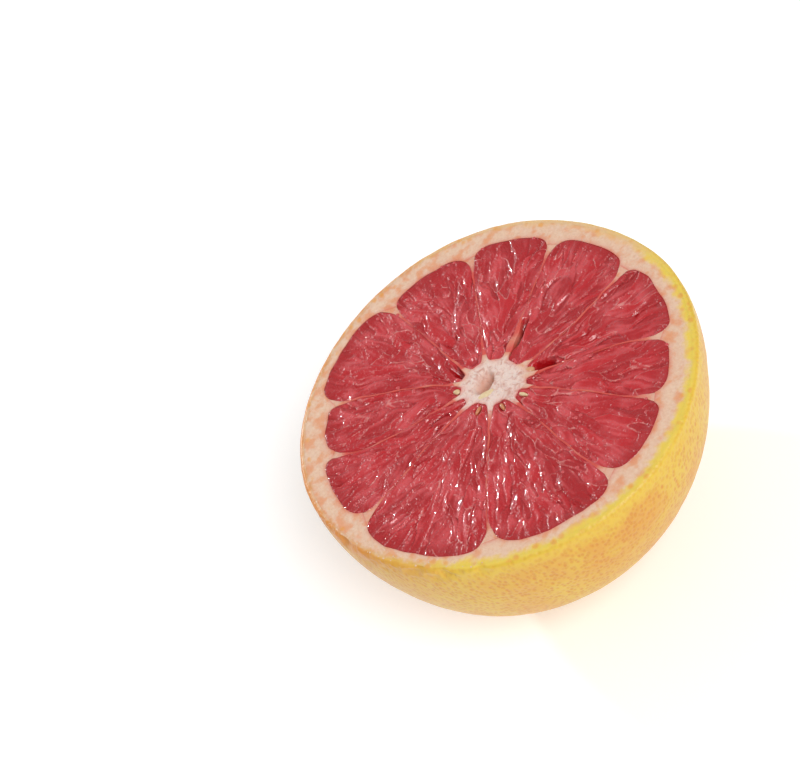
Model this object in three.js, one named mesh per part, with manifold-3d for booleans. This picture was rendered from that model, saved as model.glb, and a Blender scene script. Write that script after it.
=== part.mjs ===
// A half pomelo, cut across just above its widest ring and resting on its round end with the cut face up.
// Lengths are millimetres and angles are degrees, +Z is up, and z = 0 is the surface that it rests on.
// The zest, the pith with its core and segment walls, eleven wedges of juicy pulp and five
// undeveloped seeds are separate solids that stand SEAT clear of each other.

import * as THREE from "three";
import { mergeVertices } from "three/addons/utils/BufferGeometryUtils.js";
import Module from "manifold-3d";

const wasm = await Module();
wasm.setup();

// The whole fruit
const CUT_RADIUS = 52;
const HEIGHT = 55;
const WIDEST_BELOW_CUT = 5;
const POLE_BELOW_WIDEST = 50.7;
const ROUNDNESS = 2.05; // 2 is an ellipse, and more is squarer
const LOBE = 0.015; // three shallow lobes, as a share of the radius
const LOBE_ANGLE = 54;
const LEAN = 2.5; // the cut face is this far to +X of the resting spot
// Two broad swellings: the angle and the level each is centred at, its reach in both, and the share
// of the radius that it adds. Levels are shares of the height.
const SWELLINGS = [
  { at: -5, wide: 28, level: 0.95, tall: 0.3, adds: 0.037 },
  { at: -122, wide: 45, level: 0.38, tall: 0.2, adds: 0.03 },
];

// The layers, as distances in from the outside
const SEAT = 0.3;
const ZEST_THICKNESS = 1.6;
const PITH_INSET = ZEST_THICKNESS + SEAT;
const FLESH_INSET = 4;
const FLESH_INSET_AT_POLE = 8;

// The core, and the split in its middle
const CORE_CENTRE = [1.6, 1.8];
const CORE_RADIUS = 7.4;
const SPLIT_CENTRE = [-0.5, 2.5];
const SPLIT_SIZE = [3.4, 2.8, 4.2];

// The segment walls, counter-clockwise: the angle near the core, half way out and at the rind,
// then how far the segment after the wall reaches out.
const WALL_THICKNESS = 1;
const WALL_RADII = [9, 26, 44];
const WALLS = [
  { at: [-2, 3, 8], reach: 46.1 },
  { at: [35, 38, 38], reach: 45.7 },
  { at: [70, 68, 68], reach: 45.1 },
  { at: [106, 101, 101], reach: 48 },
  { at: [128, 137, 142], reach: 44.6 },
  { at: [156, 167, 162], reach: 45.7 },
  { at: [184, 191, 193], reach: 47.8 },
  { at: [239, 238, 240], reach: 46.7 },
  { at: [290, 282, 283], reach: 45.3 },
  { at: [320, 313, 312], reach: 44.8 },
  { at: [336, 338, 335], reach: 46.2 },
];
const CORNER_SQUARENESS = 6;
const CORNER_CROWDING = 0.2; // draws the outline's points in towards its four corners
const OUTLINE_POINTS = 28;

// The juice sacs on the cut, as a coarse relief of long facets
const SAC_SINK = 0.3;
const SAC_RELIEF = 0.42;
const SAC_RINGS = [10, 15, 20.5, 26, 31.5, 37, 42];
const SAC_COLUMNS = 80;
const SAC_SEED = 11;

// The undeveloped seeds: the segment each lies in, and how far its middle is out from the core's edge
const SEEDS = [
  { segment: 4, out: 2.4 },
  { segment: 6, out: 1.8 },
  { segment: 7, out: 1.8 },
  { segment: 8, out: 2.8 },
  { segment: 10, out: 1.8 },
];
const SEED_SIZE = [1.7, 1, 1.1];
const SEED_DROP = 1;

const ROUND_STEPS = 48;
const PROFILE_STEPS = 8;
const AXIS_CLEAR = 1;
const OVERSHOOT = 5; // how far a cutting solid runs past what it cuts

const rad = THREE.MathUtils.degToRad;
const widest = HEIGHT - WIDEST_BELOW_CUT;
const widestRadius =
  CUT_RADIUS /
  (1 - (WIDEST_BELOW_CUT / POLE_BELOW_WIDEST) ** ROUNDNESS) ** (1 / ROUNDNESS);

// One seeded draw after another, from 0 to 1
function draws(seed) {
  let state = seed;
  return () => {
    state = (state * 1664525 + 1013904223) % 4294967296;
    return state / 4294967296;
  };
}

// Radius of a layer of the fruit at a height: it lies inset at its sides and poleInset at its pole
function radiusAt(z, inset, poleInset = inset) {
  const share = Math.min(
    1,
    Math.abs(z - widest) / (POLE_BELOW_WIDEST - poleInset),
  );
  return (
    (widestRadius - inset) * (1 - share ** ROUNDNESS) ** (1 / ROUNDNESS)
  );
}

// Half outline of a layer from its lowest point on the axis to its edge at the cut.
// Points closer to the axis than AXIS_CLEAR are left to the one on it.
function profile(inset, poleInset = inset) {
  const bottom = Math.max(0, widest - POLE_BELOW_WIDEST + poleInset);
  const points = [new THREE.Vector2(0, bottom)];
  for (let i = 0; i <= PROFILE_STEPS; i++) {
    const turn = (Math.PI / 2) * (1 - i / PROFILE_STEPS);
    const z = widest - (widest - bottom) * Math.sin(turn);
    const r = radiusAt(z, inset, poleInset);
    if (r > AXIS_CLEAR) points.push(new THREE.Vector2(r, z));
  }
  points.push(new THREE.Vector2(radiusAt(HEIGHT, inset, poleInset), HEIGHT));
  return points;
}

function solid(geometry) {
  geometry.deleteAttribute("normal");
  geometry.deleteAttribute("uv");
  const merged = mergeVertices(geometry, 1e-4);
  return new wasm.Manifold(
    new wasm.Mesh({
      numProp: 3,
      vertProperties: merged.attributes.position.array,
      triVerts: new Uint32Array(merged.index.array),
    }),
  );
}

function lathe(points, steps = ROUND_STEPS) {
  return new THREE.LatheGeometry(points, steps).rotateX(Math.PI / 2);
}

// How much the swellings add to the radius, as a share of it
function swellingAt(angle, level) {
  return SWELLINGS.reduce((sum, swelling) => {
    const turn = angle - rad(swelling.at);
    const aside = Math.atan2(Math.sin(turn), Math.cos(turn)) / rad(swelling.wide);
    const away = (level - swelling.level) / swelling.tall;
    return sum + swelling.adds * Math.exp(-aside * aside - away * away);
  }, 0);
}

// The fruit's own unevenness: its lobes, which die out at the resting spot, its swellings and its lean
function warp(geometry) {
  const p = geometry.attributes.position;
  for (let i = 0; i < p.count; i++) {
    const [x, y, z] = [p.getX(i), p.getY(i), p.getZ(i)];
    const up = z / HEIGHT;
    const angle = Math.atan2(y, x);
    const lobes = Math.cos(3 * (angle - rad(LOBE_ANGLE)));
    const lobed = LOBE * lobes * Math.sin((Math.PI / 2) * Math.min(up, 1));
    const swell = 1 + lobed + swellingAt(angle, up);
    p.setXY(i, x * swell + LEAN * up, y * swell);
  }
  return geometry;
}

function geometryOf(manifold) {
  const mesh = manifold.getMesh();
  return new THREE.BufferGeometry()
    .setAttribute(
      "position",
      new THREE.BufferAttribute(new Float32Array(mesh.vertProperties), 3),
    )
    .setIndex(new THREE.BufferAttribute(mesh.triVerts, 1));
}

// Angle of a wall at a radius, on the parabola through its three given angles
function wallAngle(index, r) {
  const turns = index >= WALLS.length ? 360 : 0;
  const [a, b, c] = WALLS[index % WALLS.length].at;
  const [p, q, s] = WALL_RADII;
  const angle =
    (a * (r - q) * (r - s)) / ((p - q) * (p - s)) +
    (b * (r - p) * (r - s)) / ((q - p) * (q - s)) +
    (c * (r - p) * (r - q)) / ((s - p) * (s - q));
  return rad(angle + turns);
}

// Where the core's edge lies in a direction
function coreEdge(angle) {
  const [x, y] = CORE_CENTRE;
  const along = x * Math.cos(angle) + y * Math.sin(angle);
  return along + Math.sqrt(CORE_RADIUS ** 2 - x * x - y * y + along ** 2);
}

// Point of a segment in plan: across and out run from -1 to 1 between its walls and from core to rind
function segmentPoint(index, across, out, clear) {
  const halfway = WALL_RADII[1];
  const middle = (wallAngle(index, halfway) + wallAngle(index + 1, halfway)) / 2;
  const inner = coreEdge(middle) + clear;
  const r = inner + ((WALLS[index].reach - clear - inner) * (out + 1)) / 2;
  const side = (WALL_THICKNESS / 2 + clear) / r;
  const low = wallAngle(index, r) + side;
  const high = wallAngle(index + 1, r) - side;
  const angle = low + ((high - low) * (across + 1)) / 2;
  return new THREE.Vector2(r * Math.cos(angle), r * Math.sin(angle));
}

function segmentPrism(index, clear) {
  const rounded = (v) => Math.sign(v) * Math.abs(v) ** (2 / CORNER_SQUARENESS);
  const points = [];
  for (let i = 0; i < OUTLINE_POINTS; i++) {
    const even = ((i + 0.5) / OUTLINE_POINTS) * 2 * Math.PI;
    const t = even - CORNER_CROWDING * Math.sin(4 * even);
    points.push(
      segmentPoint(index, rounded(Math.cos(t)), rounded(Math.sin(t)), clear),
    );
  }
  return solid(
    new THREE.ExtrudeGeometry(new THREE.Shape(points), {
      depth: HEIGHT + OVERSHOOT,
      bevelEnabled: false,
      steps: 1,
    }),
  );
}

// Everything below the cut, with the tops of the juice sacs as its upper face
function sacSlab() {
  const draw = draws(SAC_SEED);
  const edge = CUT_RADIUS + OVERSHOOT;
  const points = [
    new THREE.Vector2(0, -OVERSHOOT),
    new THREE.Vector2(edge, -OVERSHOOT),
    ...[edge, ...[...SAC_RINGS].reverse(), 0].map(
      (r) => new THREE.Vector2(r, HEIGHT),
    ),
  ];
  const geometry = mergeVertices(
    lathe(points, SAC_COLUMNS).deleteAttribute("normal").deleteAttribute("uv"),
    1e-3,
  );
  const p = geometry.attributes.position;
  for (let i = 0; i < p.count; i++)
    if (p.getZ(i) > 0)
      p.setZ(i, HEIGHT - SAC_SINK + SAC_RELIEF * (2 * draw() - 1));
  return solid(geometry);
}

function seedBody({ segment, out }, clear) {
  const middle = (r) => (wallAngle(segment, r) + wallAngle(segment + 1, r)) / 2;
  const r = coreEdge(middle(WALL_RADII[0])) + out;
  const angle = middle(r);
  const [length, width, height] = SEED_SIZE.map((v) => v + clear);
  return solid(
    new THREE.SphereGeometry(1, 10, 6)
      .rotateX(Math.PI / 2)
      .scale(length, width, height)
      .rotateZ(angle)
      .translate(r * Math.cos(angle), r * Math.sin(angle), HEIGHT - SEED_DROP),
  );
}

const looks = {
  zest: { color: "#e3b04a", roughness: 0.45, metalness: 0 },
  pith: { color: "#f0d8c6", roughness: 0.7, metalness: 0 },
  pulp: { color: "#b5303a", roughness: 0.25, metalness: 0 },
  seed: { color: "#dcc389", roughness: 0.5, metalness: 0 },
};

const fruit = new THREE.Group();

function add(name, body, look) {
  const material = new THREE.MeshStandardMaterial(looks[look]);
  const mesh = new THREE.Mesh(warp(geometryOf(body)), material);
  mesh.name = name;
  fruit.add(mesh);
}

// Zest: the coloured outer skin, a thin bowl with the flat spot under it
const zestInside = profile(ZEST_THICKNESS).reverse();
add("zest", solid(lathe([...profile(0), ...zestInside])), "zest");

// A layer filled in to the axis, and up past the cut by over
function filled(inset, poleInset, over) {
  const points = profile(inset, poleInset);
  const rim = points.at(-1).x;
  if (over) points.push(new THREE.Vector2(rim, HEIGHT + over));
  return solid(lathe([...points, new THREE.Vector2(0, HEIGHT + over)]));
}

// Pulp: each segment's juicy wedge, in the pocket that the pith leaves for it
const flesh = filled(FLESH_INSET + SEAT, FLESH_INSET_AT_POLE + SEAT, 0).intersect(
  sacSlab(),
);
const pocketSpace = filled(FLESH_INSET, FLESH_INSET_AT_POLE, OVERSHOOT);
const seats = SEEDS.map((seed) => seedBody(seed, SEAT));
const biggest = (body) =>
  body.decompose().sort((a, b) => b.volume() - a.volume())[0];

let pith = filled(PITH_INSET, PITH_INSET, 0);
WALLS.forEach((wall, index) => {
  let pulp = flesh.intersect(segmentPrism(index, SEAT));
  SEEDS.forEach((seed, i) => {
    if (seed.segment === index) pulp = pulp.subtract(seats[i]);
  });
  add("pulp_" + String(index + 1).padStart(2, "0"), biggest(pulp), "pulp");
  pith = pith.subtract(pocketSpace.intersect(segmentPrism(index, 0)));
});

// Pith: the white bowl, its walls between the segments, and the core with its split
const split = new THREE.SphereGeometry(1, 12, 8)
  .scale(...SPLIT_SIZE)
  .translate(...SPLIT_CENTRE, HEIGHT);
pith = pith.subtract(solid(split));
for (const seat of seats) pith = pith.subtract(seat);
add("pith", pith, "pith");

SEEDS.forEach((seed, i) => add("seed_" + (i + 1), seedBody(seed, 0), "seed"));

export default fruit;
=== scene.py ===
# %% [markdown]
# # Half a pomelo, cut across
#
# We dress a half citrus fruit that lies on its round end, cut face up. It is three tissues: the zest, a thin
# waxy skin full of oil glands; the pith, a white sponge that also makes the core and the walls between the
# segments; and the pulp, bundles of long juice sacs. Each gets its own meshes and its own material. The
# solids of the fruit are already there, as a fixed frame. We load them first and measure from them.

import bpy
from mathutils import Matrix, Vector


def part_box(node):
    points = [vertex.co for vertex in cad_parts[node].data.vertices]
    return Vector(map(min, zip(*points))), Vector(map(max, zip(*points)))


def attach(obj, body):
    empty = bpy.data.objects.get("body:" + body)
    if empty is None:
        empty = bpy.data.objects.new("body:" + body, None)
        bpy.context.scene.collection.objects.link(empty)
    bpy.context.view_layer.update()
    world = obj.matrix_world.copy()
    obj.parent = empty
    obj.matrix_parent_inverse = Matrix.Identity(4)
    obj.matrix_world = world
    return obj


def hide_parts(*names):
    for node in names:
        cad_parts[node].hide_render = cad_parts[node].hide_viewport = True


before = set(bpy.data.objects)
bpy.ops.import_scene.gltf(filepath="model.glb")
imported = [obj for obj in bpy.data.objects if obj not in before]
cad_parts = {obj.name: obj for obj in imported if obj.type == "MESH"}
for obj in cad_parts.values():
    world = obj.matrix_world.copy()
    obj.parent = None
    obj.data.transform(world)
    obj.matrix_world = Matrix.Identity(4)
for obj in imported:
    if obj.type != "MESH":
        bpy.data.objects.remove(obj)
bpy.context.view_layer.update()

# %% [markdown]
# ## Sizes
#
# We think about a fruit in millimetres and Blender works in metres, so one factor turns one to the other.
# The cut height comes from the frame. The rest repeats the driving sizes of the solids.

# %% Sizes of the fruit
import functools
import itertools
import math

import bmesh
import bpy
import numpy as np
from mathutils import Matrix, Vector

MM = 0.001
CUT_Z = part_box("zest")[1].z / MM
CUT_RADIUS = 52.0
WIDEST_BELOW_CUT = 5.0
POLE_BELOW_WIDEST = 50.7
ROUNDNESS = 2.05
LOBE = 0.015
LOBE_ANGLE = 54.0
LEAN = 2.5
# Two broad swellings: angle, reach in degrees, level, reach in level, and the share of the radius it adds
SWELLINGS = ((-5, 28, 0.95, 0.3, 0.037), (-122, 45, 0.38, 0.2, 0.03))
ZEST_THICKNESS = 1.6
FLESH_INSET = 4.0
FLESH_INSET_AT_POLE = 8.0
CORE_CENTRE = (1.6, 1.8)
WALL_THICKNESS = 0.4
WALL_RADII = (9.0, 26.0, 44.0)
# Each wall's angle near the core, half way out and at the rind, then where the next segment starts and ends
WALLS = (
    ((-2, 3, 8), 8.4, 46.1),
    ((35, 38, 38), 8.3, 45.7),
    ((70, 68, 68), 8.5, 45.1),
    ((104, 101, 101), 8.8, 48.0),
    ((130, 137, 142), 8.0, 44.6),
    ((158, 167, 162), 7.0, 45.7),
    ((184, 191, 193), 4.9, 47.8),
    ((239, 238, 240), 5.3, 46.7),
    ((287, 282, 283), 7.6, 45.3),
    ((318, 313, 312), 9.2, 44.8),
    ((337, 338, 335), 10.2, 46.2),
)
CORNER_SQUARENESS = 5.5
widest_z = CUT_Z - WIDEST_BELOW_CUT
widest_radius = CUT_RADIUS / (1 - (WIDEST_BELOW_CUT / POLE_BELOW_WIDEST) ** ROUNDNESS) ** (1 / ROUNDNESS)
print(f"cut at {CUT_Z:.1f} mm, widest ring {widest_radius:.2f} mm in radius at {widest_z:.1f} mm")

# %% [markdown]
# ## The camera
#
# The photograph looks down on the cut face from about 47 degrees, and the fruit leans to the left in it.
# A real half would roll if it lay that way, so the fruit stays level and the camera rolls instead. It is
# placed from where the middle of the cut face appears in the picture, which keeps the shift at zero.

# %% Set the camera
PHOTO_WIDTH, PHOTO_HEIGHT = 800, 763
CUT_CENTRE_PX = (490.3, 387.0)
VIEW_DOWN = math.radians(46.75)
VIEW_ROLL = math.radians(35.9)
VIEW_DISTANCE = 450.0
LENS = 82.55
SENSOR = 36.0

view_back = Vector((0, -math.cos(VIEW_DOWN), math.sin(VIEW_DOWN)))
level_right = Vector((1, 0, 0))
level_up = view_back.cross(level_right)
view_right = level_right * math.cos(VIEW_ROLL) - level_up * math.sin(VIEW_ROLL)
view_up = level_right * math.sin(VIEW_ROLL) + level_up * math.cos(VIEW_ROLL)
mm_per_pixel = VIEW_DISTANCE * SENSOR / LENS / PHOTO_WIDTH
cut_centre = Vector((LEAN, 0, CUT_Z))
camera_place = (
    cut_centre
    + view_back * VIEW_DISTANCE
    - view_right * (CUT_CENTRE_PX[0] - PHOTO_WIDTH / 2) * mm_per_pixel
    - view_up * (PHOTO_HEIGHT / 2 - CUT_CENTRE_PX[1]) * mm_per_pixel
) * MM

scene = bpy.context.scene
camera = bpy.data.objects.new("camera", bpy.data.cameras.new("camera"))
camera.data.lens = LENS
camera.data.sensor_width = SENSOR
camera.data.clip_start = 0.01
camera.matrix_world = Matrix.Translation(camera_place) @ Matrix(
    (view_right, view_up, view_back)
).transposed().to_4x4()
scene.collection.objects.link(camera)
scene.camera = camera
print("camera at", tuple(round(v, 3) for v in camera_place))

# %% [markdown]
# ## Uneven by nature
#
# Nothing on a fruit is quite even. Smooth noise gives us that, for the meshes as the Noise node does for the
# materials. Each corner of the cell around a place gets a slope of its own, and the slopes blend. It is a
# formula, so every run grows the same fruit. The fruit's own form is put on last, over a round plan: three
# shallow lobes, two broad swellings and a slight lean.

# %% Noise and the fruit's form
def corner_slopes(cells):
    """A slope from -1 to 1 in each direction for every corner of the grid of cells."""
    x, y, z = cells.astype(np.int64).T
    mixed = (x * 73856093 ^ y * 19349663 ^ z * 83492791) & 0xFFFFFFFF
    mixed = ((mixed ^ (mixed >> 15)) * 2246822519) & 0xFFFFFFFF
    mixed = ((mixed ^ (mixed >> 13)) * 3266489917) & 0xFFFFFFFF
    return np.stack([(mixed >> shift & 1023) / 511.5 - 1 for shift in (0, 10, 20)], 1)


def smooth_noise(x, y, z, size, seed=0.0):
    """Smooth noise from about -1 to 1, with features of the given size, for arrays of places in mm."""
    x, y, z = np.broadcast_arrays(x, y, z)
    places = np.stack([x, y, z], -1).reshape(-1, 3) / size + seed * 17.3
    cells = np.floor(places)
    local = places - cells
    blend = local**3 * (local * (local * 6 - 15) + 10)
    total = np.zeros(len(places))
    for corner in itertools.product((0, 1), repeat=3):
        slope = corner_slopes(cells + corner)
        weight = np.where(corner, blend, 1 - blend).prod(1)
        total += weight * (slope * (local - corner)).sum(1)
    return total.reshape(x.shape) * 1.5


def layer_radius(z, inset, pole_inset=None):
    """Radius of a layer at a height. It lies inset under the skin, and pole_inset under it at the pole."""
    deep = POLE_BELOW_WIDEST - (inset if pole_inset is None else pole_inset)
    share = np.clip(np.abs(z - widest_z) / deep, 0, 1)
    return (widest_radius - inset) * (1 - share**ROUNDNESS) ** (1 / ROUNDNESS)


def fruit_form(places):
    """Gives the round plan of the fruit its lobes, its swellings and its lean."""
    x, y, z = places.T
    up = np.clip(z / CUT_Z, 0, 1)
    angle = np.arctan2(y, x)
    swell = 1 + LOBE * np.cos(3 * (angle - math.radians(LOBE_ANGLE))) * np.sin(math.pi / 2 * up)
    for centre, wide, level, tall, adds in SWELLINGS:
        turn = angle - math.radians(centre)
        aside = np.arctan2(np.sin(turn), np.cos(turn)) / math.radians(wide)
        swell = swell + adds * np.exp(-(aside**2) - ((up - level) / tall) ** 2)
    return np.stack([x * swell + LEAN * up, y * swell, z], 1)


def soft_step(value, low, high):
    t = np.clip((value - low) / (high - low), 0, 1)
    return t * t * (3 - 2 * t)


def seen_along(x, y, centre, angle):
    """How far places lie from a centre along a direction, and how far aside of it."""
    dx, dy = x - centre[0], y - centre[1]
    return dx * math.cos(angle) + dy * math.sin(angle), -dx * math.sin(angle) + dy * math.cos(angle)


KNIFE_DEPTH = 0.16


def knife_marks(x, y):
    """How far the cut lies below the top, in mm. Zest and pith share it, so they meet flush."""
    marks = 0.10 * smooth_noise(x, y, 0, 2.6, 11) + 0.06 * smooth_noise(x, y, 0, 0.9, 12)
    return KNIFE_DEPTH - np.clip(marks, -0.14, 0.14)


print("noise at one place:", round(float(smooth_noise(0.3, 0.2, 0.1, 1.0)), 3))

# %% [markdown]
# ## From a bmesh to a finished piece
#
# Every piece ends the same way: its bmesh becomes a mesh, the fruit's form is put on, its faces are made
# smooth, and it takes the place of the solid that it stands for. Smooth shading would smear light round the
# corner that the knife left, so a crisp piece keeps its corners sharp.

# %% Finish a piece
CORNER = math.radians(55)
made_pieces = []


def finish_piece(name, bm, material, nodes=(), values=None, form=True, crisp=False):
    """Turns a bmesh in mm into an object in metres that rides on the fruit and replaces the named solids.

    The values are lists of one number for each vertex, which the material reads by their names.
    """
    bmesh.ops.recalc_face_normals(bm, faces=bm.faces)
    if crisp:
        for edge in bm.edges:
            edge.smooth = edge.calc_face_angle(0.0) < CORNER
    mesh = bpy.data.meshes.new(name)
    bm.to_mesh(mesh)
    bm.free()
    places = np.empty(len(mesh.vertices) * 3, np.float32)
    mesh.vertices.foreach_get("co", places)
    places = places.reshape(-1, 3).astype(float)
    if form:
        places = fruit_form(places)
    mesh.vertices.foreach_set("co", (places * MM).astype(np.float32).ravel())
    mesh.polygons.foreach_set("use_smooth", np.ones(len(mesh.polygons), bool))
    mesh.materials.append(material)
    mesh.update()
    for title, numbers in (values or {}).items():
        layer = mesh.attributes.new(title, "FLOAT", "POINT")
        layer.data.foreach_set("value", np.asarray(numbers, np.float32))
    piece = bpy.data.objects.new(name, mesh)
    scene.collection.objects.link(piece)
    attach(piece, "root")
    if nodes:
        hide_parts(*nodes)
    made_pieces.append(piece)
    return piece


def places_of(bm):
    return np.array([v.co for v in bm.verts])


def move_to(bm, places):
    for vert, place in zip(bm.verts, places):
        vert.co = place


# %% [markdown]
# ## Materials in nodes
#
# Colours are written as sRGB hex values, as a picture editor shows them. The shader wants linear light, so
# one function converts them. A second one adds a node, sets its options and links its inputs. A third makes
# a material from a surface function, which reads from top to bottom like the graph in the editor.

# %% Colour and node helpers
def linear(code):
    """An sRGB hex colour as linear red, green, blue and alpha."""
    parts = [int(code[i : i + 2], 16) / 255 for i in (1, 3, 5)]
    return tuple(c / 12.92 if c <= 0.04045 else ((c + 0.055) / 1.055) ** 2.4 for c in parts) + (1.0,)


def node(tree, kind, inputs=None, **settings):
    """Adds a node of a kind, such as Mix for ShaderNodeMix, and sets its options and inputs.

    An input is a number, a hex colour, a socket to link, or a node, whose first output in use gets linked.
    """
    made = tree.nodes.new("ShaderNode" + kind)
    for name, value in settings.items():
        setattr(made, name, value)
    for name, value in (inputs or {}).items():
        if isinstance(value, bpy.types.Node):
            value = next(socket for socket in value.outputs if socket.enabled)
        if isinstance(value, bpy.types.NodeSocket):
            tree.links.new(value, made.inputs[name])
        else:
            made.inputs[name].default_value = linear(value) if isinstance(value, str) else value
    return made


def make_material(name, surface, attributes=()):
    """A material. The surface function gets node() for its tree, the place and the attributes it asks for.

    It adds the pattern and returns the settings of the Principled shader.
    """
    material = bpy.data.materials.new(name)
    material.use_nodes = True
    material.node_tree.nodes.clear()
    add = functools.partial(node, material.node_tree)
    place = add("TexCoord").outputs["Object"]
    numbers = [add("Attribute", attribute_name=title).outputs["Fac"] for title in attributes]
    shader = add("BsdfPrincipled", surface(add, place, *numbers))
    add("OutputMaterial", {"Surface": shader})
    return material


# The colour inputs of a Mix node have no names of their own, only these numbers
MIX_A, MIX_B = 6, 7
COLOUR = {"data_type": "RGBA"}
SMOOTH = {"interpolation_type": "SMOOTHSTEP"}
TIMES = {"operation": "MULTIPLY"}
PLUS = {"operation": "ADD"}
print("helpers ready; the pith's cream is linear", tuple(round(c, 3) for c in linear("#f0d8c6")[:3]))

# %% [markdown]
# ## The cut rind, shared by zest and pith
#
# The knife opens glands in the zest, and their oil soaks into the pith next to them. So there is no sharp
# line between the two: lemon yellow at the skin turns to cream over two or three millimetres, with orange
# blots where a gland was hit. Both materials need that, so one function lays it over any ground colour.
#
# Three vertex attributes tell it where it is: "depth" is the distance under the skin in millimetres, "blush"
# is 1 on the side that the sun turned orange, and "pale" is 1 where the zest was cut thinnest.

# %% The cut rind
LEMON = "#e6c84c"
LEMON_SKIN = "#dab63c"
PEACH = "#d68a40"
BLOT_PITCH = 2.3
BLUSH_ANGLE = 140.0
PALE_ANGLE = 42.0


def pale_of(x, y):
    """1 along the stretch of the rim where the zest was cut so thin that it looks cream, 0 elsewhere."""
    facing = np.cos(np.arctan2(y, x) - math.radians(PALE_ANGLE))
    return soft_step(facing + 0.12 * smooth_noise(x, y, 0, 9.0, 35), 0.72, 0.97)


def blush_of(x, y):
    """1 on the side that ripened orange, 0 on the lemon yellow side."""
    facing = np.cos(np.arctan2(y, x) - math.radians(BLUSH_ANGLE))
    return soft_step(facing + 0.25 * smooth_noise(x, y, 0, 14.0, 21), -0.15, 0.75)


def rind_colour(add, place, ground, depth, blush, pale):
    """Lays the oily yellow edge and the blots of cut glands over a ground colour."""
    cloud = add("TexNoise", {"Vector": place, "Scale": 1000 / 2.8, "Detail": 3.0})
    wander = add("MapRange", {0: cloud, 1: 0.25, 2: 0.75, 3: -1.1, 4: 1.1}, clamp=False)
    reach = add("Math", {0: depth, 1: wander}, **PLUS)
    sooner = add("Math", {0: blush, 1: 1.4}, **TIMES)
    shifted = add("Math", {0: reach, 1: sooner}, **PLUS)
    oil = add("MapRange", {0: shifted, 1: 1.4, 2: 3.9, 3: 0.95, 4: 0.0}, **SMOOTH)
    lemon = add("Mix", {0: blush, MIX_A: LEMON, MIX_B: PEACH}, **COLOUR)
    paled = add("Mix", {0: pale, MIX_A: lemon, MIX_B: "#e4b476"}, **COLOUR)
    thinner = add("MapRange", {0: pale, 3: 1.0, 4: 0.6})
    film = add("Math", {0: oil, 1: thinner}, **TIMES)
    oily = add("Mix", {0: film, MIX_A: ground, MIX_B: paled}, **COLOUR)
    # Cut glands, about one in three, and only within the zest's reach
    glands = add("TexVoronoi", {"Vector": place, "Scale": 1000 / BLOT_PITCH})
    blot = add("MapRange", {0: glands, 1: 0.15, 2: 0.5, 3: 1.0, 4: 0.0}, **SMOOTH)
    chance = add("SeparateColor", {0: glands.outputs["Color"]})
    picked = add("MapRange", {0: chance, 1: 0.4, 2: 0.6})
    band = add("MapRange", {0: depth, 1: 2.4, 2: 3.8, 3: 0.75, 4: 0.0}, **SMOOTH)
    some = add("Math", {0: blot, 1: picked}, **TIMES)
    near = add("Math", {0: some, 1: band}, **TIMES)
    return add("Mix", {0: near, MIX_A: oily, MIX_B: "#e09a48"}, **COLOUR)


print("cut rind: blots about", BLOT_PITCH, "mm apart")

# %% [markdown]
# ## Zest: a citrus skin
#
# Citrus zest is a waxy skin over oil glands, about 1 mm apart. From outside each gland is a small dimple
# with a more orange spot in it, because there we look into the clear oil. The wax gives a soft sheen, so the
# roughness is middling. The colour drifts from lemon yellow just under the cut to golden further down. The
# spots are a Voronoi pattern, whose cells are as irregular as real glands. Object coordinates are in metres,
# so a scale of 1000 / 0.95 gives cells 0.95 mm wide.

# %% The zest's material
GLAND_PITCH = 0.95


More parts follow.
